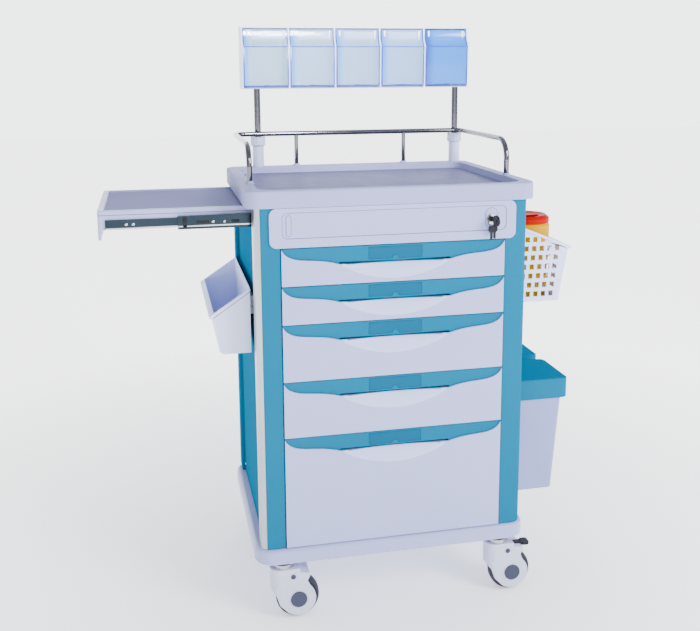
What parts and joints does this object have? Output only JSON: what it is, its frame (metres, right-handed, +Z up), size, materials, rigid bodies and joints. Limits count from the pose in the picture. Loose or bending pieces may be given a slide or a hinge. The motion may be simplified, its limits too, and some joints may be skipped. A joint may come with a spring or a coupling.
{
  "type": "crash cart",
  "caption": "Mobile emergency supply cart: locking drawers, railed worktop, raised rack of tilt bins, pull-out side shelf, hung sharps and waste bins, swivel casters",
  "frame": {"origin": "on the floor under the middle of the cabinet", "axes": "X to the cart's right as seen from the front, Y to the back, Z up; the drawers face -Y"},
  "size_m": [1.062, 0.5299, 1.29],
  "materials": {
    "white_abs": "moulded ABS, bluish white, fine satin gloss",
    "white_panel": "powder-coated sheet, satin",
    "teal_panel": "powder-coated sheet, deep cyan blue",
    "teal_abs": "moulded ABS, cyan blue, glossy",
    "grey_box": "moulded drawer tray, light grey",
    "aluminium": "satin anodised extrusion",
    "steel_tube": "polished stainless tube",
    "slide_steel": "zinc-plated pressed steel",
    "sleeve_plastic": "moulded nylon, white",
    "bracket_steel": "plated steel",
    "shelf_plastic": "moulded ABS, bluish white, satin",
    "clear_blue": "transparent polycarbonate, blue tint",
    "lock_metal": "plated metal",
    "key_black": "black moulded plastic",
    "sharps_yellow": "polypropylene, yellow",
    "sharps_red": "polypropylene, red",
    "caster_hood": "moulded nylon hood, white, slate caps",
    "caster_tyre": "grey thermoplastic rubber tyre"
  },
  "bodies": {
    "cabinet": {"base_tray": "white_abs", "corner_columns": "aluminium", "column_covers": "teal_abs", "left_side_panel": "teal_panel", "right_side_panel": "teal_panel", "back_panel": "white_panel", "worktop": "white_abs", "front_fascia": "white_abs", "guardrail": "steel_tube", "post_sleeves": "sleeve_plastic", "slide_channels": "slide_steel", "lock_housing": "lock_metal", "accessory_brackets": "bracket_steel", "caster_plates": "bracket_steel", "sharps_basket": "white_abs", "utility_box": "white_abs", "waste_buckets": "white_abs"},
    "shelf": {"shelf_tray": "shelf_plastic", "shelf_slide_inner": "slide_steel"},
    "shelf_slide": {"shelf_slide_middle": "slide_steel"},
    "rack": {"rack_housing": "white_abs", "rack_posts": "steel_tube"},
    "collar_left": {"collar_left": "sleeve_plastic"},
    "collar_right": {"collar_right": "sleeve_plastic"},
    "key": {"lock_key": "key_black"},
    "spare_keys": {"spare_keys": "key_black"},
    "container": {"sharps_container": "sharps_yellow"},
    "container_lid": {"sharps_lid": "sharps_red"},
    "lid_front": {"waste_lid_front": "teal_abs"},
    "lid_rear": {"waste_lid_rear": "teal_abs"},
    "drawer_1": {"drawer_1_box": "grey_box", "drawer_1_front": "teal_abs", "drawer_1_cover": "white_abs"},
    "drawer_2": {"drawer_2_box": "grey_box", "drawer_2_front": "teal_abs", "drawer_2_cover": "white_abs"},
    "drawer_3": {"drawer_3_box": "grey_box", "drawer_3_front": "teal_abs", "drawer_3_cover": "white_abs"},
    "drawer_4": {"drawer_4_box": "grey_box", "drawer_4_front": "teal_abs", "drawer_4_cover": "white_abs"},
    "drawer_5": {"drawer_5_box": "grey_box", "drawer_5_front": "teal_abs", "drawer_5_cover": "white_abs"},
    "bin_1": {"tilt_bin_1": "clear_blue"},
    "bin_2": {"tilt_bin_2": "clear_blue"},
    "bin_3": {"tilt_bin_3": "clear_blue"},
    "bin_4": {"tilt_bin_4": "clear_blue"},
    "bin_5": {"tilt_bin_5": "clear_blue"},
    "fork_front_left": {"caster_fork_front_left": "caster_hood"},
    "wheel_front_left": {"caster_wheel_front_left": "caster_tyre"},
    "fork_front_right": {"caster_fork_front_right": "caster_hood"},
    "wheel_front_right": {"caster_wheel_front_right": "caster_tyre"},
    "pedal_front_right": {"brake_pedal_front_right": "key_black"},
    "fork_rear_left": {"caster_fork_rear_left": "caster_hood"},
    "wheel_rear_left": {"caster_wheel_rear_left": "caster_tyre"},
    "fork_rear_right": {"caster_fork_rear_right": "caster_hood"},
    "wheel_rear_right": {"caster_wheel_rear_right": "caster_tyre"},
    "pedal_rear_right": {"brake_pedal_rear_right": "key_black"}
  },
  "joints": [
    {"name": "drawer_1_slide", "type": "slide", "parent": "cabinet", "child": "drawer_1", "axis": [0, -1, 0], "range_m": [0, 0.33]},
    {"name": "drawer_2_slide", "type": "slide", "parent": "cabinet", "child": "drawer_2", "axis": [0, -1, 0], "range_m": [0, 0.33]},
    {"name": "drawer_3_slide", "type": "slide", "parent": "cabinet", "child": "drawer_3", "axis": [0, -1, 0], "range_m": [0, 0.33]},
    {"name": "drawer_4_slide", "type": "slide", "parent": "cabinet", "child": "drawer_4", "axis": [0, -1, 0], "range_m": [0, 0.33]},
    {"name": "drawer_5_slide", "type": "slide", "parent": "cabinet", "child": "drawer_5", "axis": [0, -1, 0], "range_m": [0, 0.33]},
    {"name": "bin_1_tilt", "type": "hinge", "parent": "rack", "child": "bin_1", "pos_m": [-0.216, 0.161, 1.154], "axis": [1, 0, 0], "range_deg": [0, 45]},
    {"name": "bin_2_tilt", "type": "hinge", "parent": "rack", "child": "bin_2", "pos_m": [-0.104, 0.161, 1.154], "axis": [1, 0, 0], "range_deg": [0, 45]},
    {"name": "bin_3_tilt", "type": "hinge", "parent": "rack", "child": "bin_3", "pos_m": [0.008, 0.161, 1.154], "axis": [1, 0, 0], "range_deg": [0, 45]},
    {"name": "bin_4_tilt", "type": "hinge", "parent": "rack", "child": "bin_4", "pos_m": [0.12, 0.161, 1.154], "axis": [1, 0, 0], "range_deg": [0, 45]},
    {"name": "bin_5_tilt", "type": "hinge", "parent": "rack", "child": "bin_5", "pos_m": [0.232, 0.161, 1.154], "axis": [1, 0, 0], "range_deg": [0, 45]},
    {"name": "shelf_slide_in", "type": "slide", "parent": "cabinet", "child": "shelf", "axis": [1, 0, 0], "range_m": [0, 0.29]},
    {"name": "shelf_member_slide", "type": "slide", "parent": "cabinet", "child": "shelf_slide", "axis": [1, 0, 0], "range_m": [0, 0.145]},
    {"name": "rack_height", "type": "slide", "parent": "cabinet", "child": "rack", "axis": [0, 0, 1], "range_m": [-0.1, 0.06]},
    {"name": "collar_left_turn", "type": "hinge", "parent": "cabinet", "child": "collar_left", "pos_m": [-0.2315, 0.227, 1.013], "axis": [0, 0, 1], "range_deg": [0, 90]},
    {"name": "collar_right_turn", "type": "hinge", "parent": "cabinet", "child": "collar_right", "pos_m": [0.2785, 0.227, 1.013], "axis": [0, 0, 1], "range_deg": [0, 90]},
    {"name": "lock_turn", "type": "hinge", "parent": "cabinet", "child": "key", "pos_m": [0.21, -0.235, 0.876], "axis": [0, 1, 0], "range_deg": [0, 90]},
    {"name": "spare_keys_swing", "type": "hinge", "parent": "cabinet", "child": "spare_keys", "pos_m": [0.21, -0.249, 0.876], "axis": [0, 1, 0], "range_deg": [-40, 40]},
    {"name": "container_lift", "type": "slide", "parent": "cabinet", "child": "container", "axis": [0, 0, 1], "range_m": [0, 0.2]},
    {"name": "container_lid_turn", "type": "hinge", "parent": "container", "child": "container_lid", "pos_m": [0.37, -0.045, 0.845], "axis": [0, 0, 1], "range_deg": [0, 90]},
    {"name": "lid_front_hinge", "type": "hinge", "parent": "cabinet", "child": "lid_front", "pos_m": [0.307, -0.0485, 0.455], "axis": [0, -1, 0], "range_deg": [0, 75]},
    {"name": "lid_rear_hinge", "type": "hinge", "parent": "cabinet", "child": "lid_rear", "pos_m": [0.307, 0.1345, 0.455], "axis": [0, -1, 0], "range_deg": [0, 75]},
    {"name": "swivel_front_left", "type": "hinge", "parent": "cabinet", "child": "fork_front_left", "pos_m": [-0.248, -0.215, 0.115], "axis": [0, 0, 1], "continuous": true},
    {"name": "roll_front_left", "type": "hinge", "parent": "fork_front_left", "child": "wheel_front_left", "pos_m": [-0.218, -0.215, 0.048], "axis": [0, 1, 0], "continuous": true},
    {"name": "swivel_front_right", "type": "hinge", "parent": "cabinet", "child": "fork_front_right", "pos_m": [0.248, -0.215, 0.115], "axis": [0, 0, 1], "continuous": true},
    {"name": "roll_front_right", "type": "hinge", "parent": "fork_front_right", "child": "wheel_front_right", "pos_m": [0.278, -0.215, 0.048], "axis": [0, 1, 0], "continuous": true},
    {"name": "brake_front_right", "type": "hinge", "parent": "fork_front_right", "child": "pedal_front_right", "pos_m": [0.272, -0.215, 0.106], "axis": [0, 1, 0], "range_deg": [0, 9]},
    {"name": "swivel_rear_left", "type": "hinge", "parent": "cabinet", "child": "fork_rear_left", "pos_m": [-0.248, 0.215, 0.115], "axis": [0, 0, 1], "continuous": true},
    {"name": "roll_rear_left", "type": "hinge", "parent": "fork_rear_left", "child": "wheel_rear_left", "pos_m": [-0.218, 0.215, 0.048], "axis": [0, 1, 0], "continuous": true},
    {"name": "swivel_rear_right", "type": "hinge", "parent": "cabinet", "child": "fork_rear_right", "pos_m": [0.248, 0.215, 0.115], "axis": [0, 0, 1], "continuous": true},
    {"name": "roll_rear_right", "type": "hinge", "parent": "fork_rear_right", "child": "wheel_rear_right", "pos_m": [0.278, 0.215, 0.048], "axis": [0, 1, 0], "continuous": true},
    {"name": "brake_rear_right", "type": "hinge", "parent": "fork_rear_right", "child": "pedal_rear_right", "pos_m": [0.272, 0.215, 0.106], "axis": [0, 1, 0], "range_deg": [0, 9]}
  ],
  "couplings": [
    {"joint": "shelf_member_slide", "follows": "shelf_slide_in", "ratio": 0.5}
  ]
}
